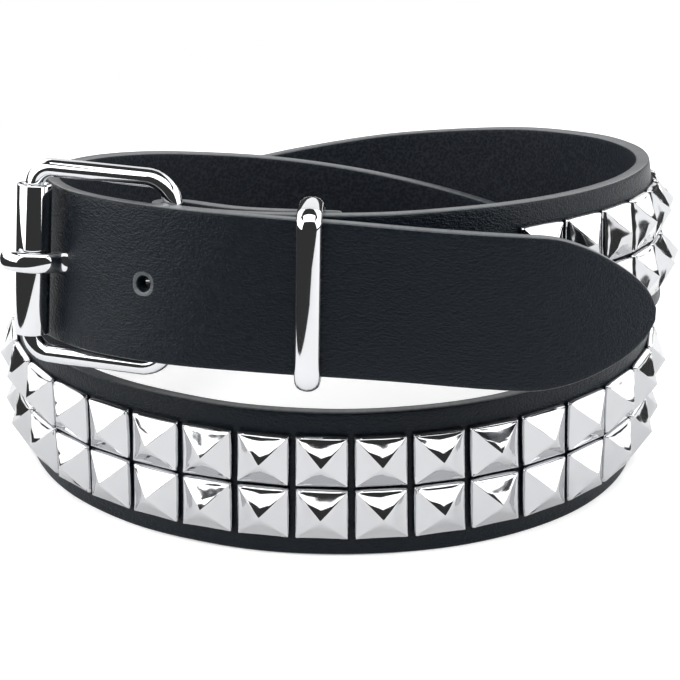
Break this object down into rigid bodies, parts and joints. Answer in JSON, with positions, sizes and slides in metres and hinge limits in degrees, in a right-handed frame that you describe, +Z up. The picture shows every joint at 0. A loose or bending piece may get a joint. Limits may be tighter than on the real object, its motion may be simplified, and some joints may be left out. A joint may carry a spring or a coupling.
{
  "type": "studded belt",
  "caption": "Fastened leather belt with square pyramid studs, a roller buckle and a metal keeper, wound round twice and standing on its edge.",
  "frame": {"origin": "middle of the belt's footprint, on the surface it stands on", "axes": "+Z up, across the strap; +X to the right as the buckle side is looked at; +Y away from it"},
  "size_m": [0.1838, 0.178, 0.0961],
  "materials": {
    "leather": "black grained leather, satin, with lighter cut edges",
    "stud_chrome": "pressed sheet, bright plated",
    "chrome": "polished, bright plated"
  },
  "bodies": {
    "root": {"strap": "leather", "studs_first_turn": "stud_chrome", "studs_second_turn": "stud_chrome", "buckle_frame": "chrome", "prong": "chrome", "roller": "chrome", "keeper": "chrome"}
  },
  "joints": []
}
